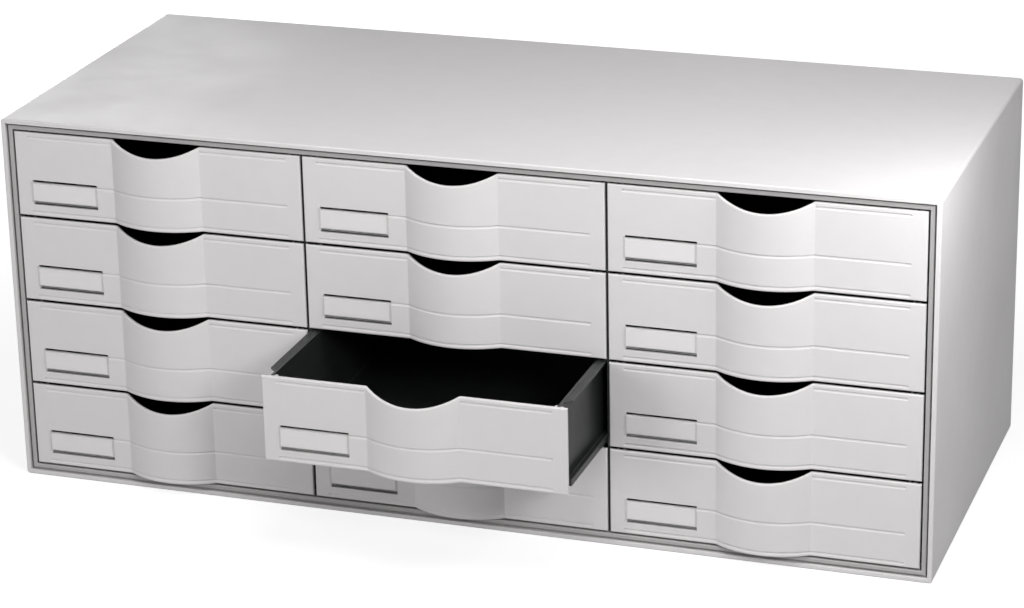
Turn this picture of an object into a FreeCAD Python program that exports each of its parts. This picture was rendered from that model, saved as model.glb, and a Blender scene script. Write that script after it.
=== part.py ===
import FreeCAD, Part
import math
import os

# Drawer cabinet for craft stamps: a light grey plastic casing with a black carcass of dividers and
# runner ledges, and twelve shallow drawers, three across and four down. Each drawer is a black tray
# that hangs its two lower runners on the ledges, with a light grey front clipped to it, and a clear
# label window over a paper card snapped into the front.
#
# Millimetres. +Z is up and -Y is the way the drawers open. The origin is the centre of the base.

# ---- Driving dimensions ---------------------------------------------------------------------------

# Casing
casing_width = 814.0
casing_depth = 342.0
casing_height = 329.0
casing_wall = 4.0
casing_corner_radius = 3.0      # the four long edges, front to back
lip_radius = 1.2                # the front and back rims of the sleeve

# Drawer grid
columns = 3
rows = 4
column_gap = 2.4                # between two fronts side by side
row_gap = 2.5                   # between two fronts one above the other
edge_gap = 1.5                  # between the outer fronts and the front frame

# Front frame
frame_band = 5.6                # how wide it shows between the casing's lip and the opening
frame_depth = 12.0
frame_setback = 2.0             # its face, and the drawers' faces, lie this far behind the lip
frame_rebate_width = 1.6        # the dark step between the lip and the frame
frame_rebate_depth = 3.0
frame_edge_radius = 1.1

# Drawer front
front_wall = 2.6
front_edge_radius = 1.1
bulge_chord = 80.5
bulge_rise = 12.0               # how far the bulge stands out of the flat face
crease_radius = 1.6             # where the bulge leaves the flat face
scoop_depth = 10.5              # the dip in the top edge, over the bulge's chord
scoop_corner_radius = 3.0       # where the dip runs into the straight top edge

# Fine grooves moulded into the front: a square upper wall, and a slope that runs out below
groove_height = 2.8
groove_depth = 1.1
groove_runout = 0.1             # the slope ends this far outside the face, so that it cuts cleanly
groove_end_margin = 12.6
top_groove_drop = 3.3           # from the top edge to its upper wall
bottom_groove_rise = 4.7        # from the bottom edge to its upper wall
groove_to_bulge = 1.0

# Label window
label_left_margin = 13.0
label_to_bulge = 16.0
label_rise = 12.4               # from the front's bottom edge
label_height = 18.5
label_thickness = 1.6
label_seat_gap = 0.1            # from the window's rear face to the front's face
label_slit = 1.5                # the open part of the slit above the window
label_lower_slit = 2.2          # and of the one below, which the window's edge hides from above
label_slit_inset = 1.4          # the slits begin this far in from the window's left end
label_corner_radius = 0.5
tab_thickness = 0.8
tab_width = 8.0
tab_clearance = 0.1
tab_hook = 0.6
card_border = 1.6               # the window's solid rim around the card
card_thickness = 0.35
card_clearance = 0.15

# Tray
tray_wall = 2.0
tray_lift = 3.0                 # its underside, above the front's bottom edge
runner_width = 6.4              # how far rim and runner reach out from the side walls
runner_thickness = 2.0
runner_lip_height = 3.5
runner_lip_wall = 1.4
runner_start = 12.0             # behind the front's face
rim_thickness = 2.0
rim_start_inner = 12.0          # the rim's slanted front end, behind the front's face
rim_start_outer = 19.0
rim_groove_width = 0.8
rim_groove_depth = 0.5
rim_grooves = 3
tray_back_clearance = 4.0       # from the tray to the back panel

# Clips between front and tray
finger_thickness = 2.4
finger_reach = 5.4
finger_clearance = 0.25
nib_height = 0.9
nib_length = 2.0
nib_rise = 20.0
outer_tip_reach = 4.0
outer_tip_height = 10.0
shelf_thickness = 2.2           # the front's ledge under the tray's floor
shelf_reach = 8.0
shelf_clearance = 0.1
shelf_inset = 6.0

# Dividers, runner ledges and drawer stops
divider_thickness = 3.0
divider_nose = 4.0              # behind the drawers' faces
side_panel_thickness = 2.5
side_panel_rib = 3.0
side_panel_ribs = 4
runner_clearance = 0.5          # at each side of a drawer
slide_clearance = 0.3           # between a runner and the ledge under it
ledge_thickness = 2.2
ledge_side_clearance = 0.5      # from a ledge's edge to the tray's side wall
frame_clearance = 0.2           # from the carcass to the back of the front frame
drawer_travel = 240.0
stop_length = 4.0
stop_overlap = 1.7              # how much the two stop nibs catch on each other
stop_clearance = 0.3
end_stop_length = 3.5
end_stop_height = 6.0

# Back panel and its screws
back_thickness = 3.0
back_clearance = 0.3
back_rib_height = 2.0
back_rib_width = 3.0
boss_width = 8.0
boss_height = 6.0
boss_length = 14.0
screws_per_edge = 5
screw_edge_inset = 27.0         # from the casing's sides to the outermost screws
screw_radius = 1.4
screw_length = 12.0
screw_head_radius = 2.8
screw_head_height = 1.6
screw_hole_clearance = 0.2
screw_pilot_clearance = 0.05
screw_slot_width = 0.9
screw_slot_depth = 0.8

# The drawer that stands open at rest, by column and row from the top left, and by how much
open_column = 1
open_row = 2
open_distance = 105.0

# ---- Sizes that follow ----------------------------------------------------------------------------

front_edge_y = -casing_depth / 2
back_edge_y = casing_depth / 2
inner_half_width = casing_width / 2 - casing_wall
inner_top = casing_height - casing_wall

opening_half_width = inner_half_width - frame_band
opening_bottom = casing_wall + frame_band
opening_height = casing_height - 2 * opening_bottom

front_width = (2 * opening_half_width - 2 * edge_gap - (columns - 1) * column_gap) / columns
front_height = (opening_height - 2 * edge_gap - (rows - 1) * row_gap) / rows
column_pitch = front_width + column_gap
row_pitch = front_height + row_gap

face_y = front_edge_y + frame_setback
front_rear_y = face_y + front_wall
carcass_front_y = face_y + frame_depth + frame_clearance
back_face_y = back_edge_y - back_thickness
tray_back_y = back_face_y - tray_back_clearance

bay_half_width = column_pitch / 2 - divider_thickness / 2
tray_half_width = bay_half_width - runner_clearance
wall_outer = tray_half_width - runner_width
wall_inner = wall_outer - tray_wall

ledge_top = tray_lift - slide_clearance
ledge_bottom = ledge_top - ledge_thickness
ledge_reach = bay_half_width - wall_outer - ledge_side_clearance
ledge_length = back_face_y - carcass_front_y

# The nib under each ledge catches the one on the rim below it.
stop_room = row_pitch + ledge_bottom - front_height
rim_nib_height = stop_room - slide_clearance
ledge_nib_height = stop_overlap + slide_clearance
ledge_nib_back_y = carcass_front_y + stop_length
rim_nib_y = ledge_nib_back_y + stop_clearance + drawer_travel

bulge_half = bulge_chord / 2
bulge_radius = (bulge_half ** 2 + bulge_rise ** 2) / (2 * bulge_rise)
scoop_radius = (bulge_half ** 2 + scoop_depth ** 2) / (2 * scoop_depth)

front_left = -front_width / 2
label_left = front_left + label_left_margin
label_right = -bulge_half - label_to_bulge
label_width = label_right - label_left
label_top = label_rise + label_height
middle_groove_rise = label_top  # its upper wall is level with the window

column_names = ["left", "middle", "right"]


# ---- Small helpers --------------------------------------------------------------------------------

def box(x0, x1, y0, y1, z0, z1):
    corner = FreeCAD.Vector(x0, y0, z0)
    return Part.makeBox(x1 - x0, y1 - y0, z1 - z0, corner)


def cylinder_y(radius, x, y0, y1, z):
    """A round bar or hole along Y."""
    return Part.makeCylinder(radius, y1 - y0, FreeCAD.Vector(x, y0, z), FreeCAD.Vector(0, 1, 0))


def mirrored_pair(shape):
    """The shape and its mirror image across the plane x = 0."""
    return [shape, shape.mirror(FreeCAD.Vector(0, 0, 0), FreeCAD.Vector(1, 0, 0))]


def prism(points, z0, z1):
    """A flat polygon given as (x, y) corners, raised from z0 to z1."""
    corners = [FreeCAD.Vector(x, y, z0) for x, y in points]
    outline = Part.makePolygon(corners + corners[:1])
    return Part.Face(outline).extrude(FreeCAD.Vector(0, 0, z1 - z0))


def fuse_all(first, others):
    return first.multiFuse(others).removeSplitter()


def edges_where(shape, test):
    """The edges whose two ends both pass the test."""
    return [edge for edge in shape.Edges if all(test(vertex.Point) for vertex in edge.Vertexes)]


def near(value, target, tolerance=0.01):
    return abs(value - target) < tolerance


def column_x(column):
    return (column - (columns - 1) / 2) * column_pitch


def row_z(row):
    """The bottom edge of a row's fronts, counting rows from the top."""
    return opening_bottom + edge_gap + (rows - 1 - row) * row_pitch


def drawer_name(column, row):
    return "%s_%d" % (column_names[column], row + 1)


# ---- Casing ---------------------------------------------------------------------------------------

def screw_places():
    """Centres (x, z) of the screws, along the top and the bottom edge."""
    reach = casing_width / 2 - screw_edge_inset
    step = 2 * reach / (screws_per_edge - 1)
    low = casing_wall + boss_height / 2
    return [(-reach + i * step, z) for z in (low, casing_height - low) for i in range(screws_per_edge)]


def casing_shell():
    """Top, base and both sides in one sleeve, with the bosses that take the back panel's screws."""
    half = casing_width / 2
    outer = box(-half, half, front_edge_y, back_edge_y, 0, casing_height)
    long_edges = edges_where(outer, lambda p: near(abs(p.x), half) and (near(p.z, 0) or near(p.z, casing_height)))
    long_edges = [edge for edge in long_edges if near(edge.Length, casing_depth)]
    outer = outer.makeFillet(casing_corner_radius, long_edges)
    ends = edges_where(outer, lambda p: near(abs(p.y), casing_depth / 2))
    ends = [edge for edge in ends if not near(edge.Length, casing_depth)]
    outer = outer.makeFillet(lip_radius, ends)
    inner = box(-inner_half_width, inner_half_width, front_edge_y - 1, back_edge_y + 1, casing_wall, inner_top)
    sleeve = outer.cut(inner)
    bosses = []
    pilots = []
    for x, z in screw_places():
        wall_z = 0.5 * (z + (casing_height if z > casing_height / 2 else 0))
        low, high = sorted((wall_z, z + math.copysign(boss_height / 2, z - casing_height / 2) * -1))
        bosses.append(box(x - boss_width / 2, x + boss_width / 2, back_face_y - boss_length, back_face_y, low, high))
        hole_end = back_face_y - screw_length - screw_pilot_clearance
        pilots.append(cylinder_y(screw_radius + screw_pilot_clearance, x, hole_end, back_face_y + 1, z))
    return fuse_all(sleeve, bosses).cut(Part.makeCompound(pilots))


def front_frame():
    """The light band set back behind the casing's lip, with a dark step around its outside."""
    y0 = face_y
    y1 = face_y + frame_depth
    outer = box(-inner_half_width, inner_half_width, y0, y1, casing_wall, inner_top)
    hole = box(-opening_half_width, opening_half_width, y0 - 1, y1 + 1,
               opening_bottom, opening_bottom + opening_height)
    step = frame_rebate_width
    around = box(-inner_half_width - 1, inner_half_width + 1, y0 - 1, y0 + frame_rebate_depth,
                 casing_wall - 1, inner_top + 1)
    kept = box(-inner_half_width + step, inner_half_width - step, y0 - 2, y1,
               casing_wall + step, inner_top - step)
    frame = outer.cut(hole).cut(around.cut(kept))

    def on_face(p):
        return near(p.y, y0)

    return frame.makeFillet(frame_edge_radius, edges_where(frame, on_face))


def ledge_levels():
    """Undersides of the ledges, from the bottom row's up to the guide above the top row."""
    return [row_z(rows - 1) + i * row_pitch + ledge_bottom for i in range(rows + 1)]


def ledges(wall_x, side):
    """Ledges that stand out of a wall at wall_x towards side (+1 or -1), with their stops."""
    pieces = []
    for level, z in enumerate(ledge_levels()):
        x0, x1 = sorted((wall_x, wall_x + side * ledge_reach))
        pieces.append(box(x0, x1, carcass_front_y, back_face_y, z, z + ledge_thickness))
        if level < rows:
            end_top = z + ledge_thickness + end_stop_height
            pieces.append(box(x0, x1, back_face_y - end_stop_length, back_face_y, z, end_top))
        if level > 0:
            nib_x0, nib_x1 = sorted((wall_x, wall_x + side * (ledge_reach - 2 * ledge_side_clearance)))
            pieces.append(box(nib_x0, nib_x1, carcass_front_y, ledge_nib_back_y, z - ledge_nib_height, z))
    return pieces


def divider(index):
    """Upright wall between two columns, with ledges on both faces. It is notched round the frame."""
    x = column_x(index) + column_pitch / 2
    half = divider_thickness / 2
    nose_y = face_y + divider_nose
    gap = frame_clearance
    body = box(x - half, x + half, carcass_front_y, back_face_y, casing_wall, inner_top)
    nose = box(x - half, x + half, nose_y, carcass_front_y, opening_bottom + gap,
               opening_bottom + opening_height - gap)
    return fuse_all(body, [nose] + ledges(x - half, -1) + ledges(x + half, 1))


def side_runner_panel(side):
    """Thin wall with the outer column's ledges, held off the casing's side by upright ribs."""
    face = column_x(columns - 1) + bay_half_width
    x0 = face
    x1 = face + side_panel_thickness
    panel = box(x0, x1, carcass_front_y, back_face_y, casing_wall, inner_top)
    step = (ledge_length - side_panel_rib) / (side_panel_ribs - 1)
    pieces = ledges(face, -1)
    for i in range(side_panel_ribs):
        y = carcass_front_y + i * step
        pieces.append(box(x1, inner_half_width, y, y + side_panel_rib, casing_wall, inner_top))
    shape = fuse_all(panel, pieces)
    return shape if side > 0 else mirrored_pair(shape)[1]


def back_panel():
    """Closes the sleeve from behind. Shallow ribs on its outer face stiffen it."""
    half = inner_half_width - back_clearance
    low = casing_wall + back_clearance
    high = inner_top - back_clearance
    panel = box(-half, half, back_face_y, back_edge_y - back_rib_height / 2, low, high)
    ribs = []
    for i in range(columns - 1):
        x = column_x(i) + column_pitch / 2
        ribs.append(box(x - back_rib_width / 2, x + back_rib_width / 2, back_face_y, back_edge_y,
                        low + boss_height, high - boss_height))
    holes = [cylinder_y(screw_radius + screw_hole_clearance, x, back_face_y - 1, back_edge_y + 1, z)
             for x, z in screw_places()]
    return fuse_all(panel, ribs).cut(Part.makeCompound(holes))


def back_screws():
    """Pan-head screws along the top and bottom edges of the back panel."""
    head_y = back_edge_y - back_rib_height / 2
    screws = []
    for x, z in screw_places():
        shank = cylinder_y(screw_radius, x, back_face_y - screw_length, head_y, z)
        head = cylinder_y(screw_head_radius, x, head_y, head_y + screw_head_height, z)
        slot = box(x - screw_head_radius, x + screw_head_radius, head_y + screw_head_height - screw_slot_depth,
                   head_y + screw_head_height + 1, z - screw_slot_width / 2, z + screw_slot_width / 2)
        screws.append(shank.fuse(head).removeSplitter().cut(slot))
    return Part.makeCompound(screws)


# ---- Drawer, built in place in the middle column, with its bottom edge at z = 0 ---------------------

def front_outline(depth, x0, x1, rear_y):
    """Plan outline from the front's surface, sunk by depth, back to rear_y, between x0 and x1."""
    y = face_y + depth
    radius = bulge_radius - depth
    centre_y = face_y - bulge_rise + bulge_radius
    half = math.sqrt(radius ** 2 - (centre_y - y) ** 2)
    crown = FreeCAD.Vector(0, centre_y - radius, 0)
    left = FreeCAD.Vector(-half, y, 0)
    right = FreeCAD.Vector(half, y, 0)
    corners = [FreeCAD.Vector(x1, y, 0), FreeCAD.Vector(x1, rear_y, 0),
               FreeCAD.Vector(x0, rear_y, 0), FreeCAD.Vector(x0, y, 0)]
    edges = [Part.Arc(left, crown, right).toShape()]
    path = [right] + corners + [left]
    edges += [Part.makeLine(a, b) for a, b in zip(path, path[1:])]
    return Part.Face(Part.Wire(edges))


def front_blank():
    """Flat panel with the arc-shaped bulge, before its top is scooped."""
    half = front_width / 2
    up = FreeCAD.Vector(0, 0, front_height)
    solid = front_outline(0, -half, half, front_rear_y).extrude(up)
    hollow = front_outline(front_wall, -half - 1, half + 1, front_rear_y + 1).extrude(up)
    blank = solid.cut(hollow)
    creases = edges_where(blank, lambda p: near(p.y, face_y) and near(abs(p.x), bulge_half))
    creases = [edge for edge in creases if near(edge.Length, front_height)]
    return blank.makeFillet(crease_radius, creases)


def groove(x0, x1, z):
    """Cutter for a groove that follows the front's surface. Its upper wall is at height z."""
    low = front_outline(-groove_runout, x0 - 1, x1 + 1, front_rear_y + 1)
    high = front_outline(groove_depth, x0 - 1, x1 + 1, front_rear_y + 1)
    high.translate(FreeCAD.Vector(0, 0, groove_height))
    kept = Part.makeLoft([low.OuterWire, high.OuterWire], True, True)
    room = box(x0, x1, face_y - bulge_rise - 1, front_rear_y, 0, groove_height)
    return room.cut(kept).translated(FreeCAD.Vector(0, 0, z - groove_height))


def label_slits():
    """Slits above and below the window. Part of each lies hidden behind it and takes the tabs."""
    x0 = label_left + label_slit_inset
    hidden = tab_thickness + 2 * tab_clearance
    lower = box(x0, label_right, face_y - 1, front_rear_y + 1, label_rise - label_lower_slit, label_rise + hidden)
    upper = box(x0, label_right, face_y - 1, front_rear_y + 1, label_top - hidden, label_top + label_slit)
    return [lower, upper]


def front_clips():
    """Fingers inside the tray's walls with a snap nib, short tips outside them and a shelf below."""
    floor_top = tray_lift + tray_wall
    x1 = wall_inner - finger_clearance
    x0 = x1 - finger_thickness
    finger = box(x0, x1, front_rear_y, front_rear_y + finger_reach,
                 floor_top + finger_clearance, front_height - front_edge_radius)
    nib_z = front_height / 2 - nib_rise / 2
    nib_y = front_rear_y + finger_reach - nib_length
    nib = box(x1, x1 + nib_height, nib_y, nib_y + nib_length, nib_z, nib_z + nib_rise)
    tip_x = wall_outer + finger_clearance
    clips = mirrored_pair(finger) + mirrored_pair(nib)
    for z in (tray_lift, front_height - front_edge_radius - outer_tip_height):
        tip = box(tip_x, tip_x + finger_thickness, front_rear_y, front_rear_y + outer_tip_reach,
                  z, z + outer_tip_height)
        clips += mirrored_pair(tip)
    half = wall_inner - shelf_inset
    shelf = front_outline(front_wall, -half, half, front_rear_y + shelf_reach)
    shelf_z = tray_lift - shelf_clearance - shelf_thickness
    clips.append(shelf.extrude(FreeCAD.Vector(0, 0, shelf_thickness)).translated(FreeCAD.Vector(0, 0, shelf_z)))
    return clips


def scoop_cutter():
    """Round dip whose two ends run smoothly into the straight top edge."""
    y = face_y - bulge_rise - 1
    up = FreeCAD.Vector(0, 0, 1)
    centre = FreeCAD.Vector(0, y, front_height - scoop_depth + scoop_radius)
    lowest = FreeCAD.Vector(0, y, front_height - scoop_depth)
    corner = scoop_corner_radius
    reach = math.sqrt((scoop_radius + corner) ** 2 - (scoop_radius - scoop_depth + corner) ** 2)

    def end_arc(side):
        """Points on the top edge, in mid-corner and on the dip, at one end."""
        middle = FreeCAD.Vector(side * reach, y, front_height - corner)
        inward = (centre - middle).normalize()
        return middle + up * corner, middle + (inward + up).normalize() * corner, middle + inward * corner

    top_left, mid_left, dip_left = end_arc(-1)
    top_right, mid_right, dip_right = end_arc(1)
    above_left = top_left + up * corner
    above_right = top_right + up * corner
    edges = [Part.Arc(top_left, mid_left, dip_left).toShape(),
             Part.Arc(dip_left, lowest, dip_right).toShape(),
             Part.Arc(dip_right, mid_right, top_right).toShape(),
             Part.makeLine(top_right, above_right),
             Part.makeLine(above_right, above_left),
             Part.makeLine(above_left, top_left)]
    return Part.Face(Part.Wire(edges)).extrude(FreeCAD.Vector(0, front_rear_y + 1 - y, 0))


def drawer_front():
    shape = front_blank().cut(scoop_cutter())

    def on_rim(edge):
        """Edges of the outer surface along the top, the bottom and the two ends."""
        points = [vertex.Point for vertex in edge.Vertexes]
        outside = all(p.y < face_y + 0.01 for p in points)
        upright = near(points[0].x, points[-1].x) and not near(points[0].z, points[-1].z)
        return outside and (not upright or near(abs(points[0].x), front_width / 2))

    shape = shape.makeFillet(front_edge_radius, [edge for edge in shape.Edges if on_rim(edge)])
    shape = fuse_all(shape, front_clips())
    left = front_left + groove_end_margin
    right = -left
    bulge_side = bulge_half + groove_to_bulge
    top_z = front_height - top_groove_drop
    cuts = [groove(left, -bulge_side, top_z), groove(bulge_side, right, top_z),
            groove(label_right, right, middle_groove_rise), groove(left, right, bottom_groove_rise)]
    return shape.cut(Part.makeCompound(cuts + label_slits()))


def label_window():
    """Clear plate over the card, held by four hooked tabs through the front's slits."""
    rear_y = face_y - label_seat_gap
    y0 = rear_y - label_thickness
    plate = box(label_left, label_right, y0, rear_y, label_rise, label_top)
    rim = edges_where(plate, lambda p: near(p.y, y0))
    plate = plate.makeFillet(label_corner_radius, rim)
    pocket_y = face_y - card_thickness - card_clearance
    plate = plate.cut(box(label_left + card_border, label_right - card_border, pocket_y, face_y + 1,
                          label_rise + card_border, label_top - card_border))
    hook_y0 = front_rear_y + tab_clearance
    hook_y1 = hook_y0 + tab_thickness
    tabs = []
    for share in (0.25, 0.75):
        x = label_left + share * label_width
        x0 = x - tab_width / 2
        x1 = x + tab_width / 2
        low = label_rise + tab_clearance
        high = label_top - tab_clearance
        tabs.append(box(x0, x1, rear_y, hook_y1, low, low + tab_thickness))
        tabs.append(box(x0, x1, hook_y0, hook_y1, low, low + tab_thickness + tab_hook))
        tabs.append(box(x0, x1, rear_y, hook_y1, high - tab_thickness, high))
        tabs.append(box(x0, x1, hook_y0, hook_y1, high - tab_thickness - tab_hook, high))
    return fuse_all(plate, tabs)


def label_card():
    edge = card_border + card_clearance
    return box(label_left + edge, label_right - edge, face_y - card_thickness, face_y,
               label_rise + edge, label_top - edge)


def tray():
    """Open tray with side walls, a floor and a back. Its front is closed by the drawer front."""
    y0 = front_rear_y
    y1 = tray_back_y
    top = front_height
    outer = box(-wall_outer, wall_outer, y0, y1, tray_lift, top)
    inner = box(-wall_inner, wall_inner, y0 - 1, y1 - tray_wall, tray_lift + tray_wall, top + 1)
    body = outer.cut(inner)

    slope = (rim_start_outer - rim_start_inner) / (tray_half_width - wall_inner)
    rim_y0 = face_y + rim_start_inner + slope * tray_wall
    rim = prism([(wall_outer, rim_y0), (tray_half_width, face_y + rim_start_outer),
                 (tray_half_width, y1), (wall_outer, y1)], top - rim_thickness, top)
    runner_y = face_y + runner_start
    runner = box(wall_outer, tray_half_width, runner_y, y1, tray_lift, tray_lift + runner_thickness)
    lip_top = tray_lift + runner_thickness + runner_lip_height
    lip = box(tray_half_width - runner_lip_wall, tray_half_width, runner_y, y1, tray_lift, lip_top)
    nib = box(wall_outer, tray_half_width, rim_nib_y, rim_nib_y + stop_length, top, top + rim_nib_height)
    flanges = []
    for piece in (rim, runner, lip, nib):
        flanges += mirrored_pair(piece)
    body = fuse_all(body, flanges)

    slot_z = front_height / 2 - nib_rise / 2 - finger_clearance
    slot_y = front_rear_y + finger_reach - nib_length - finger_clearance
    slot = box(wall_inner - 1, wall_outer + 1, slot_y, slot_y + nib_length + 2 * finger_clearance,
               slot_z, slot_z + nib_rise + 2 * finger_clearance)
    cuts = mirrored_pair(slot)
    pitch = runner_width / rim_grooves
    for i in range(rim_grooves):
        x = wall_outer + (i + 0.5) * pitch
        for y_from, y_to in ((face_y + rim_start_outer + 1, rim_nib_y - 1), (rim_nib_y + stop_length + 1, y1 - 1)):
            line = box(x - rim_groove_width / 2, x + rim_groove_width / 2, y_from, y_to,
                       top - rim_groove_depth, top + 1)
            cuts += mirrored_pair(line)
    return body.cut(Part.makeCompound(cuts))


# ---- Assembly -------------------------------------------------------------------------------------

def drawer_offset(column, row):
    is_open = column == open_column and row == open_row
    return FreeCAD.Vector(column_x(column), -open_distance if is_open else 0, row_z(row))


def cabinet_nodes():
    return {
        "casing_shell": casing_shell(),
        "front_frame": front_frame(),
        "back_panel": back_panel(),
        "back_screws": back_screws(),
        "side_runner_panel_left": side_runner_panel(-1),
        "side_runner_panel_right": side_runner_panel(1),
        "divider_left": divider(0),
        "divider_right": divider(1),
    }


def drawer_nodes():
    masters = {"drawer_front": drawer_front(), "tray": tray(),
               "label_window": label_window(), "label_card": label_card()}
    nodes = {}
    for column in range(columns):
        for row in range(rows):
            place = drawer_offset(column, row)
            for kind, master in masters.items():
                nodes["%s_%s" % (kind, drawer_name(column, row))] = master.translated(place)
    return nodes


def main():
    os.makedirs("parts", exist_ok=True)
    nodes = cabinet_nodes()
    nodes.update(drawer_nodes())
    for name, shape in nodes.items():
        shape.exportStep("parts/%s.step" % name)
        print("%-28s solids %2d  volume %10.0f  valid %s"
              % (name, len(shape.Solids), shape.Volume, shape.isValid()))
    print("nodes:", len(nodes))


if __name__ == "__main__":
    main()
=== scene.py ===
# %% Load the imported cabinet
import math

import bpy
from mathutils import Matrix, Vector


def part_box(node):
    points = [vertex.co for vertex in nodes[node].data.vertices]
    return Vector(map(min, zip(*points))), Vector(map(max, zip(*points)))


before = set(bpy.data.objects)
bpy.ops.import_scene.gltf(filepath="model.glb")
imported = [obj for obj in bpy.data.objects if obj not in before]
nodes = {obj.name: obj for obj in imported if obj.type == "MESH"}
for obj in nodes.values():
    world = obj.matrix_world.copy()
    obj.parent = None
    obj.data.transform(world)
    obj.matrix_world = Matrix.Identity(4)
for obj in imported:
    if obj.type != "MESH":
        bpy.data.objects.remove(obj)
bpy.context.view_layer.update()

casing_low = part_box("casing_shell")[0]

# %% [markdown]
# The object is a wide, low cabinet with twelve shallow drawers. Every moulded piece already has its real
# shape in the frame: the arc of the finger bulge, the scooped top edge, the fine grooves, the runners and
# their stops. A look can be made by modelling everything again, or by keeping those meshes and giving
# them their finish. This lesson keeps them, because the pieces slide past each other with small gaps that
# a second model would upset. So its work is the finish of each plastic, the card, the steel and the light.

# %% [markdown]
# The camera stands to the right of the cabinet and well above it: far away with a long lens, so that the
# drawers stay nearly parallel, and high, so that the top shows. It is placed by three turns about its own
# axes, which is easier to adjust than a target point.

# %% Camera
CAMERA_PLACE = Vector((0.8865, -2.5802, 1.1658))
CAMERA_YAW = math.radians(19.12)
CAMERA_PITCH = math.radians(20.61)
CAMERA_ROLL = math.radians(-1.19)
CAMERA_LENS = 116.4
SENSOR_WIDTH = 36.0
FAR_CLIP = 60.0
FRONTS_MIDDLE = 0.16

camera_data = bpy.data.cameras.new("studio_camera")
camera_data.sensor_width = SENSOR_WIDTH
camera_data.lens = CAMERA_LENS
camera_data.clip_end = FAR_CLIP
camera = bpy.data.objects.new("studio_camera", camera_data)
turn = (Matrix.Rotation(CAMERA_YAW, 4, "Z")
        @ Matrix.Rotation(math.pi / 2 - CAMERA_PITCH, 4, "X")
        @ Matrix.Rotation(CAMERA_ROLL, 4, "Z"))
camera.matrix_world = Matrix.Translation(CAMERA_PLACE) @ turn
bpy.context.scene.collection.objects.link(camera)
bpy.context.scene.camera = camera
bpy.context.scene.view_settings.view_transform = "Standard"
fronts = Vector((0, casing_low.y, FRONTS_MIDDLE))
print("camera to the middle of the fronts: %.2f m" % (CAMERA_PLACE - fronts).length)

# %% [markdown]
# A material in Blender is a small tree of nodes. Two helpers keep the lessons below short: one wires a
# value or another node's output into an input, and one adds a node with its settings and feeds in a
# single call. Mixing two colours and doing arithmetic come up so often that each gets its own name.


# %% Helpers that wire nodes
def wire(tree, socket, feed):
    """Sets an input to a plain value, or joins another node's output to it."""
    if isinstance(feed, bpy.types.NodeSocket):
        tree.links.new(feed, socket)
    else:
        socket.default_value = feed


def add(tree, kind, feeds=None, **settings):
    """A node with its settings. feeds names its inputs, or counts them from 0."""
    node = tree.nodes.new(kind)
    for name, value in settings.items():
        setattr(node, name, value)
    for name, feed in (feeds or {}).items():
        wire(tree, node.inputs[name], feed)
    return node


def math_node(tree, operation, first, second=0.0, clamp=False):
    node = add(tree, "ShaderNodeMath", {0: first, 1: second}, operation=operation, use_clamp=clamp)
    return node.outputs[0]


def mix_colours(tree, share, first, second, blend="MIX"):
    """first where share is 0, second where it is 1."""
    node = add(tree, "ShaderNodeMix", {0: share, 6: first, 7: second}, data_type="RGBA", blend_type=blend)
    return node.outputs[2]


def remap(tree, value, from_low, from_high, to_low, to_high):
    """Stretches a range of values to another, and holds it inside."""
    feeds = {"Value": value, "From Min": from_low, "From Max": from_high, "To Min": to_low, "To Max": to_high}
    return add(tree, "ShaderNodeMapRange", feeds).outputs["Result"]


def new_material(name):
    """A material, its node tree and its own Principled shader."""
    material = bpy.data.materials.new(name)
    material.use_nodes = True
    tree = material.node_tree
    return material, tree, tree.nodes["Principled BSDF"]


print("helpers ready")

# %% [markdown]
# Several finishes share an effect, such as the grain of the moulds. Such an effect is a node group: a box
# with named inputs and outputs that is built once and placed in each material with its own values. The
# groups give out only colours, masks, heights and normals. The shader itself stays in each material.


# %% A helper that starts a node group
def start_group(name, inputs, outputs):
    """An empty group with its sockets, ready for its inside."""
    tree = bpy.data.node_groups.new(name, "ShaderNodeTree")
    for label, kind, value in inputs:
        socket = tree.interface.new_socket(label, in_out="INPUT", socket_type=kind)
        socket.default_value = value
    for label, kind in outputs:
        tree.interface.new_socket(label, in_out="OUTPUT", socket_type=kind)
    return tree, tree.nodes.new("NodeGroupInput").outputs, tree.nodes.new("NodeGroupOutput").inputs


def object_place(tree):
    """Where a point lies on its piece, in metres. It moves with the piece."""
    return add(tree, "ShaderNodeTexCoord").outputs["Object"]


def noise(tree, place, scale, detail=2.0, roughness=0.5):
    feeds = {"Vector": place, "Scale": scale, "Detail": detail, "Roughness": roughness}
    return add(tree, "ShaderNodeTexNoise", feeds).outputs["Fac"]


NOISE_LOW, NOISE_HIGH = 0.3, 0.7    # nearly all of a noise lies between these
FLOAT = "NodeSocketFloat"
COLOUR = "NodeSocketColor"
NORMAL = "NodeSocketVector"
print("group helper ready")

# %% [markdown]
# The moulds for this cabinet are spark-eroded, which leaves a fine, even skin of rounded pits on the
# plastic. Under it, large flat walls are never truly flat: they draw in a little over ribs and cool
# unevenly. Pits and waves could be two bump maps, but one height with both is cheaper and lights the
# same way. Smooth cells give the round pits, a soft noise breaks up their order, and a slow noise adds
# the waves.


# %% Group: mould grain
def mould_grain_group():
    tree, given, result = start_group(
        "mould_grain",
        [("Grains per metre", FLOAT, 1500.0), ("Wave height", FLOAT, 1.0)],
        [("Height", FLOAT)])
    place = object_place(tree)
    cells = add(tree, "ShaderNodeTexVoronoi", {"Vector": place, "Scale": given["Grains per metre"]},
                feature="SMOOTH_F1")
    breakup = noise(tree, place, math_node(tree, "MULTIPLY", given["Grains per metre"], BREAKUP_SHARE))
    pits = math_node(tree, "ADD", cells.outputs["Distance"], breakup)
    waves = math_node(tree, "MULTIPLY", noise(tree, place, WAVES_PER_METRE, detail=1.0),
                      given["Wave height"])
    wire(tree, result["Height"], math_node(tree, "ADD", pits, waves))
    return tree


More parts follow.
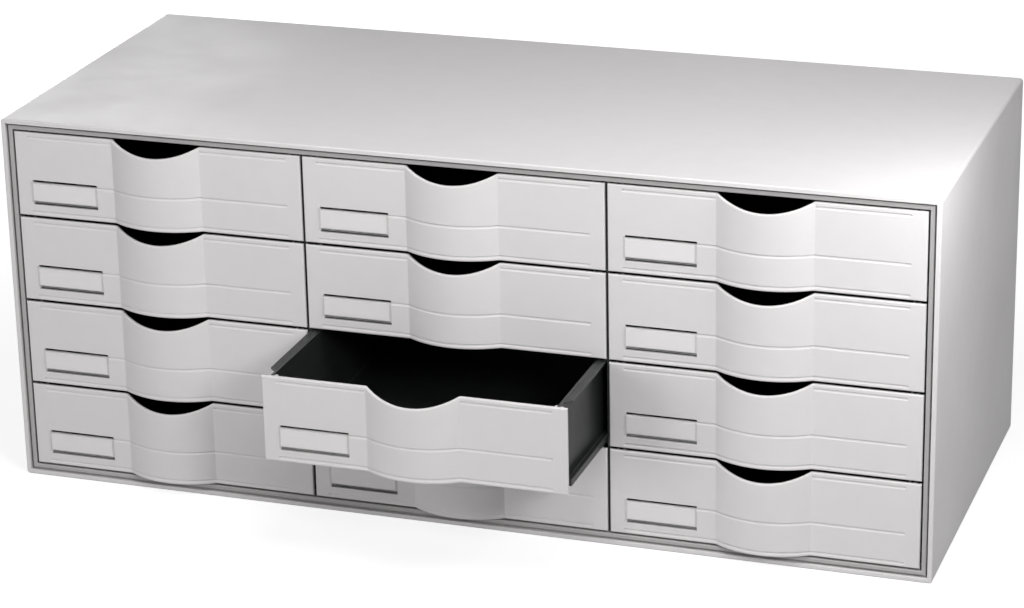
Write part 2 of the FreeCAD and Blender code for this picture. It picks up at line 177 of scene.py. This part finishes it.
BREAKUP_SHARE = 0.6
WAVES_PER_METRE = 14.0
mould_grain = mould_grain_group()
print("group made:", mould_grain.name)

# %% [markdown]
# Plastic is coloured with a masterbatch that never mixes perfectly, so a large moulding drifts a little
# between lighter and darker. Two noises of different size give that. On pale plastic one or two percent is
# enough: more would look like dirt, and none at all looks like a flat fill. Black plastic and the zinc of
# the screws take several times as much, because their tone is judged from the gloss.


# %% Group: tone drift
def tone_drift_group():
    tree, given, result = start_group(
        "tone_drift",
        [("Color", COLOUR, (0.5, 0.5, 0.5, 1.0)), ("Amount", FLOAT, 0.02)],
        [("Color", COLOUR)])
    place = object_place(tree)
    both = math_node(tree, "ADD", noise(tree, place, BROAD_DRIFT, detail=3.0),
                     noise(tree, place, FINE_DRIFT, detail=3.0))
    swing = math_node(tree, "SUBTRACT", both, 1.0)
    factor = math_node(tree, "ADD", math_node(tree, "MULTIPLY", swing, given["Amount"]), 1.0)
    grey = add(tree, "ShaderNodeCombineColor", {"Red": factor, "Green": factor, "Blue": factor})
    wire(tree, result["Color"], mix_colours(tree, 1.0, given["Color"], grey.outputs["Color"], "MULTIPLY"))
    return tree


BROAD_DRIFT, FINE_DRIFT = 5.0, 60.0
tone_drift = tone_drift_group()
print("group made:", tone_drift.name)

# %% [markdown]
# Hands and cloths leave a satin surface uneven: some patches are a little shinier, and fine hairline
# marks run through them. Only the roughness changes, never the colour, because clean plastic keeps its
# colour when it is touched. The group takes the smoothest and the roughest value and moves between them.


# %% Group: handling marks
def handling_group():
    tree, given, result = start_group(
        "handling_marks",
        [("Smoothest", FLOAT, 0.3), ("Roughest", FLOAT, 0.5)],
        [("Roughness", FLOAT)])
    place = object_place(tree)
    patches = noise(tree, place, PATCHES_PER_METRE, detail=4.0, roughness=0.6)
    stretched = add(tree, "ShaderNodeMapping", {"Vector": place, "Scale": HAIRLINES_PER_METRE})
    hairlines = noise(tree, stretched.outputs["Vector"], 1.0, detail=2.0)
    both = math_node(tree, "ADD", math_node(tree, "MULTIPLY", patches, PATCH_SHARE),
                     math_node(tree, "MULTIPLY", hairlines, HAIRLINE_SHARE))
    rough = remap(tree, both, MARKS_LOW, MARKS_HIGH, given["Smoothest"], given["Roughest"])
    wire(tree, result["Roughness"], rough)
    return tree


PATCHES_PER_METRE = 9.0
HAIRLINES_PER_METRE = (40.0, 900.0, 900.0)
PATCH_SHARE, HAIRLINE_SHARE = 0.7, 0.3
MARKS_LOW, MARKS_HIGH = 0.35, 0.65
handling_marks = handling_group()
print("group made:", handling_marks.name)

# %% [markdown]
# No moulded edge is perfectly sharp. A tool can round it by a few tenths of a millimetre, and touch
# polishes it further, so that it catches the light in a thin line. Modelling a bevel on every small edge
# would need far more mesh, so the bevel node turns the normal near an edge instead. Comparing such a soft
# normal with the true one also tells where the edges are. A second bevel node with a larger radius gives
# a wider mask, along which the materials paint a pale edge highlight into their colour: painted light for
# the thin line that an edge catches.


# %% Group: softened edges and the mask for painted edge highlights
def bevel_highlight_group():
    tree, given, result = start_group(
        "bevel_and_edge_highlight",
        [("Radius", FLOAT, 0.0004), ("Rubbed radius", FLOAT, 0.0004)],
        [("Mask", FLOAT), ("Normal", NORMAL)])
    soft = add(tree, "ShaderNodeBevel", {"Radius": given["Radius"]}, samples=4)
    wide = add(tree, "ShaderNodeBevel", {"Radius": given["Rubbed radius"]}, samples=4)
    flat = add(tree, "ShaderNodeNewGeometry")
    alike = add(tree, "ShaderNodeVectorMath", {0: wide.outputs["Normal"], 1: flat.outputs["Normal"]},
                operation="DOT_PRODUCT")
    # near_edge is the mask for the painted edge highlight
    near_edge = remap(tree, alike.outputs["Value"], HIGHLIGHT_STARTS, HIGHLIGHT_FULL, 0.0, 1.0)
    uneven = noise(tree, object_place(tree), HIGHLIGHT_BREAKS_PER_METRE, detail=3.0)
    breakup = remap(tree, uneven, NOISE_LOW, NOISE_HIGH, LEAST_HIGHLIGHT, 1.0)
    wire(tree, result["Mask"], math_node(tree, "MULTIPLY", near_edge, breakup))
    wire(tree, result["Normal"], soft.outputs["Normal"])
    return tree


HIGHLIGHT_STARTS, HIGHLIGHT_FULL = 0.995, 0.85    # how well the two normals agree
HIGHLIGHT_BREAKS_PER_METRE = 120.0
LEAST_HIGHLIGHT = 0.4
bevel_and_edge_highlight = bevel_highlight_group()
print("group made:", bevel_and_edge_highlight.name)

# %% [markdown]
# The group gives a mask for recesses: along steps, in grooves and in inner corners. It asks how much of
# the sky a point sees within a few millimetres, and a noise breaks the mask up. On the black plastics the
# mask lays pale dust, which settles where a cloth doesn't reach. On the grey plastics it lays a dark grey:
# painted shade where little light falls.


# %% Group: dust and painted shade in recesses
def recess_dust_and_shade_group():
    tree, given, result = start_group(
        "recess_dust_and_shade",
        [("Reach", FLOAT, 0.004)],
        [("Mask", FLOAT)])
    openness = add(tree, "ShaderNodeAmbientOcclusion", {"Distance": given["Reach"]}, samples=4)
    closed = remap(tree, openness.outputs["AO"], RECESS_STARTS, RECESS_FULL, 0.0, 1.0)
    uneven = noise(tree, object_place(tree), RECESS_BREAKS_PER_METRE, detail=4.0)
    breakup = remap(tree, uneven, NOISE_LOW, NOISE_HIGH, LEAST_RECESS_MARK, 1.0)
    wire(tree, result["Mask"], math_node(tree, "MULTIPLY", closed, breakup))
    return tree


RECESS_STARTS, RECESS_FULL = 0.75, 0.2      # the open share of the sky
RECESS_BREAKS_PER_METRE = 90.0
LEAST_RECESS_MARK = 0.5
recess_dust_and_shade = recess_dust_and_shade_group()
print("group made:", recess_dust_and_shade.name)

# %% [markdown]
# A drawer that is pulled thousands of times leaves long, thin scuffs on its runners, all in the sliding
# direction. A noise that is stretched along that direction gives such lines. Only its peaks count, so
# the scuffs stay sparse.


# %% Group: sliding scuffs
def sliding_scuffs_group():
    tree, given, result = start_group(
        "sliding_scuffs",
        [("Amount", FLOAT, 0.5)],
        [("Mask", FLOAT)])
    place = object_place(tree)
    along = add(tree, "ShaderNodeMapping", {"Vector": place, "Scale": SCUFFS_PER_METRE})
    lines = noise(tree, along.outputs["Vector"], 1.0, detail=3.0, roughness=0.6)
    peaks = remap(tree, lines, SCUFF_STARTS, SCUFF_FULL, 0.0, 1.0)
    wire(tree, result["Mask"], math_node(tree, "MULTIPLY", peaks, given["Amount"]))
    return tree


SCUFFS_PER_METRE = (1300.0, 5.0, 1300.0)
SCUFF_STARTS, SCUFF_FULL = 0.56, 0.74
sliding_scuffs = sliding_scuffs_group()
print("group made:", sliding_scuffs.name)

# %% [markdown]
# The plastics and the steel use some of these effects, each in its own strength. A group could be placed
# and wired by hand in every material, but that repeats the same lines and hides what differs. So one
# helper places a group with its values, and a second one lays the grain over the softened edges. The
# grain is far too shallow to show in the outline, so a bump that only turns the light is enough for it.


# %% A helper that places a group
def place_group(tree, group, **feeds):
    """Puts a group into a material. Its inputs are named with underscores for spaces."""
    node = tree.nodes.new("ShaderNodeGroup")
    node.node_tree = group
    for name, feed in feeds.items():
        wire(tree, node.inputs[name.replace("_", " ")], feed)
    return node.outputs


def grain_bump(tree, shader, grains_per_metre, wave_height, strength, normal):
    """Lights the mould grain on top of the softened edges."""
    grain = place_group(tree, mould_grain, Grains_per_metre=grains_per_metre, Wave_height=wave_height)
    bump = add(tree, "ShaderNodeBump", {"Height": grain["Height"], "Strength": strength,
                                        "Distance": GRAIN_DEPTH, "Normal": normal})
    wire(tree, shader.inputs["Normal"], bump.outputs["Normal"])


GRAIN_DEPTH = 0.00012
print("grain depth in metres:", GRAIN_DEPTH)

# %% [markdown]
# The casing, the front frame and the drawer fronts are high-impact polystyrene in a pale, slightly warm
# grey with a satin skin. They come from different moulds: the casing has a coarser grain, and the fronts
# are finer and a little shinier, because they are the face of the product. The frame between them is
# painted a deeper grey: painted shade for the shadow that the casing's lip casts on its recessed band.
# All three get a painted pale highlight along their edges and a painted dark shade in their recesses,
# strongest on the frame. One function makes all three, so that they stay one family, and takes what
# differs as its values.


# %% The three grey plastics
def grey_plastic(name, colour, grains_per_metre, smoothest, roughest, wave_height, shade_reach, shade_share):
    material, tree, shader = new_material(name)
    edge = place_group(tree, bevel_and_edge_highlight, Radius=GREY_EDGE, Rubbed_radius=GREY_HIGHLIGHT_RADIUS)
    recess = place_group(tree, recess_dust_and_shade, Reach=shade_reach)
    drifted = place_group(tree, tone_drift, Color=(*colour, 1.0), Amount=GREY_DRIFT)
    # painted highlight: a near-white grey mixed into the colour along the edges
    highlighted = mix_colours(tree, math_node(tree, "MULTIPLY", edge["Mask"], EDGE_HIGHLIGHT_SHARE),
                         drifted["Color"], (*EDGE_HIGHLIGHT_GREY, 1.0))
    # painted shade: a dark grey mixed into the colour in recesses and grooves
    recess_marked = mix_colours(tree, math_node(tree, "MULTIPLY", recess["Mask"], shade_share),
                        highlighted, (*GREY_RECESS_SHADE, 1.0))
    wire(tree, shader.inputs["Base Color"], recess_marked)
    marks = place_group(tree, handling_marks, Smoothest=smoothest, Roughest=roughest)
    wire(tree, shader.inputs["Roughness"], marks["Roughness"])
    shader.inputs["Specular IOR Level"].default_value = GREY_GLOSS
    grain_bump(tree, shader, grains_per_metre, wave_height, GREY_GRAIN, edge["Normal"])
    return material


GREY = (0.680, 0.662, 0.668)
# the frame's grey, darkened as painted shade for the shadow of the casing's lip
FRAME_SHADED_GREY = (0.400, 0.390, 0.392)
# near-white colour of the painted edge highlight
EDGE_HIGHLIGHT_GREY = (0.95, 0.94, 0.94)
# dark colour of the painted shade in recesses
GREY_RECESS_SHADE = (0.20, 0.195, 0.18)
GREY_EDGE = 0.0004
GREY_HIGHLIGHT_RADIUS = 0.0010
GREY_GLOSS = 0.3
GREY_GRAIN = 0.35
GREY_DRIFT = 0.05
EDGE_HIGHLIGHT_SHARE = 0.8
casing_plastic = grey_plastic("casing_grey_plastic", GREY, grains_per_metre=1500.0, smoothest=0.44,
                              roughest=0.56, wave_height=3.0, shade_reach=0.003, shade_share=0.3)
# the frame: deep grey and a wide, strong recess mask, both painted shade
frame_shaded_plastic = grey_plastic("frame_shaded_grey_plastic", FRAME_SHADED_GREY, grains_per_metre=1800.0, smoothest=0.42,
                             roughest=0.52, wave_height=1.0, shade_reach=0.006, shade_share=0.8)
front_plastic = grey_plastic("front_grey_plastic", GREY, grains_per_metre=2200.0, smoothest=0.36,
                             roughest=0.46, wave_height=2.0, shade_reach=0.003, shade_share=0.4)
print("grey plastics:", casing_plastic.name, frame_shaded_plastic.name, front_plastic.name)

# %% [markdown]
# Trays, dividers and runner panels are black polystyrene, often from reground stock, with a shinier skin.
# On black, the eye reads the finish from its highlights, so the grain and the uneven gloss matter more
# than the colour. Scuffs along the slide and a trace of pale dust make it a used drawer and not a hole.


# %% The two black plastics
def black_plastic(name, colour, grains_per_metre, smoothest, roughest, scuffs):
    material, tree, shader = new_material(name)
    edge = place_group(tree, bevel_and_edge_highlight, Radius=BLACK_EDGE, Rubbed_radius=BLACK_HIGHLIGHT_RADIUS)
    recess = place_group(tree, recess_dust_and_shade, Reach=BLACK_DUST_REACH)
    scuff = place_group(tree, sliding_scuffs, Amount=scuffs)
    drifted = place_group(tree, tone_drift, Color=(*colour, 1.0), Amount=BLACK_DRIFT)
    scuffed = mix_colours(tree, scuff["Mask"], drifted["Color"], (*SCUFF_GREY, 1.0))
    # painted highlight: a grey mixed into the colour along edges, so that rims and ribs catch light
    highlighted = mix_colours(tree, math_node(tree, "MULTIPLY", edge["Mask"], EDGE_HIGHLIGHT_SHARE),
                         scuffed, (*EDGE_HIGHLIGHT_BLACK, 1.0))
    recess_marked = mix_colours(tree, math_node(tree, "MULTIPLY", recess["Mask"], BLACK_DUST_SHARE),
                        highlighted, (*BLACK_DUST, 1.0))
    wire(tree, shader.inputs["Base Color"], recess_marked)
    marks = place_group(tree, handling_marks, Smoothest=smoothest, Roughest=roughest)
    wire(tree, shader.inputs["Roughness"], marks["Roughness"])
    grain_bump(tree, shader, grains_per_metre, BLACK_WAVES, BLACK_GRAIN, edge["Normal"])
    return material


BLACK = (0.016, 0.018, 0.017)
SCUFF_GREY = (0.075, 0.078, 0.076)
# colour of the painted edge highlight on black
EDGE_HIGHLIGHT_BLACK = (0.20, 0.205, 0.20)
BLACK_DUST = (0.12, 0.115, 0.105)
BLACK_EDGE = 0.0003
BLACK_HIGHLIGHT_RADIUS = 0.0006
BLACK_DRIFT = 0.3
BLACK_DUST_REACH = 0.003
BLACK_DUST_SHARE = 0.15
BLACK_WAVES = 2.0
BLACK_GRAIN = 0.3
tray_plastic = black_plastic("tray_black_plastic", BLACK, grains_per_metre=1800.0, smoothest=0.30,
                             roughest=0.44, scuffs=0.35)
carcass_plastic = black_plastic("carcass_black_plastic", BLACK, grains_per_metre=1400.0, smoothest=0.40,
                                roughest=0.56, scuffs=0.5)
print("black plastics:", tray_plastic.name, carcass_plastic.name)

# %% [markdown]
# The label window is a thin plate of clear polystyrene over a card. Real clear plastic bends light, but
# through a plate of about a millimetre the card looks much as it does without it, so the plate lets light
# straight through by its alpha and keeps only its gloss. Near its rims the edge mask makes it nearly
# opaque and milky white: a painted highlight for the light that clear plastic carries out at its edges.
# Fine scratches from changing the labels change its roughness.


# %% The label window
def clear_plastic(name):
    material, tree, shader = new_material(name)
    edge = place_group(tree, bevel_and_edge_highlight, Radius=WINDOW_EDGE, Rubbed_radius=WINDOW_EDGE)
    marks = place_group(tree, handling_marks, Smoothest=WINDOW_CLEAN, Roughest=WINDOW_WORN)
    wire(tree, shader.inputs["Roughness"], marks["Roughness"])
    wire(tree, shader.inputs["Normal"], edge["Normal"])
    shader.inputs["Base Color"].default_value = (*WINDOW_MILK, 1.0)
    shader.inputs["IOR"].default_value = POLYSTYRENE_IOR
    # painted highlight: the rims turn nearly opaque milky white by the edge mask
    wire(tree, shader.inputs["Alpha"], remap(tree, edge["Mask"], 0.0, 1.0, WINDOW_HAZE, RIM_PAINTED_HIGHLIGHT))
    return material


WINDOW_MILK = (0.92, 0.92, 0.92)
WINDOW_EDGE = 0.0005
WINDOW_CLEAN, WINDOW_WORN = 0.12, 0.30
POLYSTYRENE_IOR = 1.59
WINDOW_HAZE = 0.08
RIM_PAINTED_HIGHLIGHT = 0.75
window_plastic = clear_plastic("window_clear_plastic")
print("window haze:", WINDOW_HAZE, "at its rims:", RIM_PAINTED_HIGHLIGHT)

# %% [markdown]
# The card under the window is a strip of pale grey paper board, cut to size and left blank. Paper is
# matt and slightly furry: its fibres lie in all directions, a fraction of a millimetre thick and some
# millimetres long. Two stretched noises at right angles give them, in the height and faintly in the tone.


# %% The label card
def paper_card(name):
    material, tree, shader = new_material(name)
    place = object_place(tree)
    across = add(tree, "ShaderNodeMapping", {"Vector": place, "Scale": (ALONG, ALONG, THROUGH)})
    upright = add(tree, "ShaderNodeMapping", {"Vector": place, "Scale": (THROUGH, ALONG, ALONG)})
    fibres = math_node(tree, "MAXIMUM", noise(tree, across.outputs["Vector"], 1.0, detail=3.0),
                       noise(tree, upright.outputs["Vector"], 1.0, detail=3.0))
    share = remap(tree, fibres, FIBRE_PALE, FIBRE_DARK, 0.0, 1.0)
    wire(tree, shader.inputs["Base Color"], mix_colours(tree, share, (*CARD_PALE, 1.0), (*CARD_DARK, 1.0)))
    wire(tree, shader.inputs["Roughness"], remap(tree, fibres, NOISE_LOW, NOISE_HIGH, CARD_SMOOTHEST,
                                                 CARD_ROUGHEST))
    bump = add(tree, "ShaderNodeBump", {"Height": fibres, "Strength": FIBRE_STRENGTH,
                                        "Distance": FIBRE_DEPTH})
    wire(tree, shader.inputs["Normal"], bump.outputs["Normal"])
    return material


CARD_PALE = (0.79, 0.768, 0.775)
CARD_DARK = (0.74, 0.720, 0.727)
CARD_SMOOTHEST, CARD_ROUGHEST = 0.85, 0.95
ALONG, THROUGH = 500.0, 2600.0      # fibres per metre, lengthwise and across
FIBRE_PALE, FIBRE_DARK = 0.4, 0.75
FIBRE_STRENGTH, FIBRE_DEPTH = 0.5, 0.0001
card_paper = paper_card("label_card_paper")
print("card tones:", CARD_PALE, CARD_DARK)

# %% [markdown]
# Ten small screws hold the back panel. They are zinc-plated steel, so they are metal all through: the
# colour tints the reflection. Their heads are turned, which leaves fine rings round the slot. Each head
# has its own middle, so rings about one point would be wrong, and a fine noise stands in for them.


# %% The screws
def zinc_steel(name):
    material, tree, shader = new_material(name)
    edge = place_group(tree, bevel_and_edge_highlight, Radius=SCREW_EDGE, Rubbed_radius=SCREW_EDGE)
    drifted = place_group(tree, tone_drift, Color=(*ZINC, 1.0), Amount=ZINC_DRIFT)
    wire(tree, shader.inputs["Base Color"], drifted["Color"])
    marks = place_group(tree, handling_marks, Smoothest=ZINC_BRIGHT, Roughest=ZINC_DULL)
    wire(tree, shader.inputs["Roughness"], marks["Roughness"])
    shader.inputs["Metallic"].default_value = 1.0
    grain_bump(tree, shader, ZINC_GRAINS, 0.0, ZINC_GRAIN, edge["Normal"])
    return material


ZINC = (0.62, 0.63, 0.64)
ZINC_DRIFT = 0.25
ZINC_BRIGHT, ZINC_DULL = 0.22, 0.42
ZINC_GRAINS, ZINC_GRAIN = 4000.0, 0.25
SCREW_EDGE = 0.0003
screw_zinc = zinc_steel("screw_zinc_steel")
print("zinc tint:", ZINC)

# %% [markdown]
# Each piece now gets its finish by its name. A list of name beginnings is enough, because the pieces of
# one kind are named alike, and a loop covers every column and row. A piece that the list forgot would
# stop the script, so none is left with the plain finish that it came with.

# %% Finishes by piece
FINISHES = [
    ("casing_shell", casing_plastic),
    ("back_panel", casing_plastic),
    ("front_frame", frame_shaded_plastic),
    ("drawer_front", front_plastic),
    ("tray", tray_plastic),
    ("divider", carcass_plastic),
    ("side_runner_panel", carcass_plastic),
    ("label_window", window_plastic),
    ("label_card", card_paper),
    ("back_screws", screw_zinc),
]


def finish_for(name):
    return next(finish for beginning, finish in FINISHES if name.startswith(beginning))


for name, piece in nodes.items():
    piece.data.materials.clear()
    piece.data.materials.append(finish_for(name))
for beginning, finish in FINISHES:
    print("%-18s %2d pieces in %s" % (beginning, sum(n.startswith(beginning) for n in nodes), finish.name))

# %% [markdown]
# The floor is a plain white sweep. White paper under studio lamps comes out pure white in a picture, but
# making that much light fall on the cabinet as well would wash it out. So the floor has a pale colour for
# the light that it throws back, and a glow that only the camera and reflections see. The glow is weak
# near the cabinet, which keeps its shadow, and rises to full white further out.

# %% Floor
FLOOR_SIZE = 30.0
FLOOR_PALE = (0.35, 0.35, 0.35)
FLOOR_MATT = 0.9
GLOW_NEAR, GLOW_FAR = 0.80, 1.0
GLOW_NEAR_REACH, GLOW_FAR_REACH = 0.45, 1.25

bpy.ops.mesh.primitive_plane_add(size=FLOOR_SIZE, location=(0, 0, 0))
floor = bpy.context.object
floor.name = "studio_floor"


def seen_directly(tree):
    """1 for what the camera, a gloss or clear plastic sees, and 0 for the light that bounces about."""
    path = add(tree, "ShaderNodeLightPath").outputs
    gloss_or_clear = math_node(tree, "MAXIMUM", path["Is Glossy Ray"], path["Is Transmission Ray"])
    return math_node(tree, "MAXIMUM", path["Is Camera Ray"], gloss_or_clear)


floor_paper, floor_tree, floor_shader = new_material("studio_floor_paper")
floor_shader.inputs["Base Color"].default_value = (*FLOOR_PALE, 1.0)
floor_shader.inputs["Roughness"].default_value = FLOOR_MATT
floor_shader.inputs["Specular IOR Level"].default_value = 0.0
from_middle = add(floor_tree, "ShaderNodeVectorMath", {0: object_place(floor_tree)}, operation="LENGTH")
glow = remap(floor_tree, from_middle.outputs["Value"], GLOW_NEAR_REACH, GLOW_FAR_REACH, GLOW_NEAR, GLOW_FAR)
floor_shader.inputs["Emission Color"].default_value = (1.0, 1.0, 1.0, 1.0)
wire(floor_tree, floor_shader.inputs["Emission Strength"],
     math_node(floor_tree, "MULTIPLY", glow, seen_directly(floor_tree)))
floor.data.materials.append(floor_paper)
print("floor:", FLOOR_SIZE, "m square")

# %% [markdown]
# The room around the floor is white as well. As a light it is kept low, so that the lamps can shape the
# cabinet, and only what the camera or a reflection sees of it is full white.

# %% Room
ROOM_LIGHT = 0.10
world = bpy.data.worlds.new("studio_room")
bpy.context.scene.world = world
world.use_nodes = True
room = world.node_tree
room.nodes["Background"].inputs["Color"].default_value = (1.0, 1.0, 1.0, 1.0)
wire(room, room.nodes["Background"].inputs["Strength"],
     remap(room, seen_directly(room), 0.0, 1.0, ROOM_LIGHT, 1.0))
print("room light:", ROOM_LIGHT)

# %% [markdown]
# Five softboxes light it. A wide one stands low in front and to the left, and gives the fronts their
# tone. The key stands higher on the right: it draws a dark flank and a bright one on every bulge and
# leaves the grooves a shadow. A small one close to the upper right corner makes that corner the
# brightest and lets the right side fall off towards the back. One overhead lights the top. The last one
# stands low behind, for the back and the left side, which the others leave dark.
#
# Satin plastic mirrors a lamp strongly when it is seen at a flat angle. From behind, the front lamps and
# the overhead one would burn out the top. They could be dimmed, but that would cost the fronts their light.
# Instead they light the cabinet without being mirrored in it. Its gloss comes from the white room and from
# the back lamp, which is mirrored.


# %% Softboxes
def softbox(name, place, target, size, power, mirrored):
    lamp_data = bpy.data.lights.new(name, "AREA")
    lamp_data.shape = "SQUARE"
    lamp_data.size = size
    lamp_data.energy = power
    lamp = bpy.data.objects.new(name, lamp_data)
    aim = Vector(target) - Vector(place)
    lamp.matrix_world = Matrix.Translation(place) @ aim.to_track_quat("-Z", "Y").to_matrix().to_4x4()
    lamp.visible_camera = False
    lamp.visible_glossy = mirrored
    bpy.context.scene.collection.objects.link(lamp)
    return lamp


# name, place, the point it aims at, size in metres, power in watts, seen in a gloss or not
SOFTBOXES = [
    ("front_softbox", (-0.80, -1.60, 0.35), (0.10, -0.05, 0.20), 0.80, 10.4, False),
    ("key_softbox", (0.95, -1.185, 0.904), (0.10, -0.17, 0.20), 0.35, 9.2, False),
    ("corner_softbox", (0.55, -0.24, 0.46), (0.40, 0.00, 0.25), 0.15, 0.74, False),
    ("overhead_softbox", (0.20, -0.45, 1.00), (0.10, -0.10, 0.30), 0.50, 4.7, False),
    ("back_softbox", (-1.50, 1.80, 0.45), (0.00, 0.00, 0.15), 0.80, 20.0, True),
]
for name, place, target, size, power, mirrored in SOFTBOXES:
    print("lamp:", softbox(name, place, target, size, power, mirrored).name, power, "W")
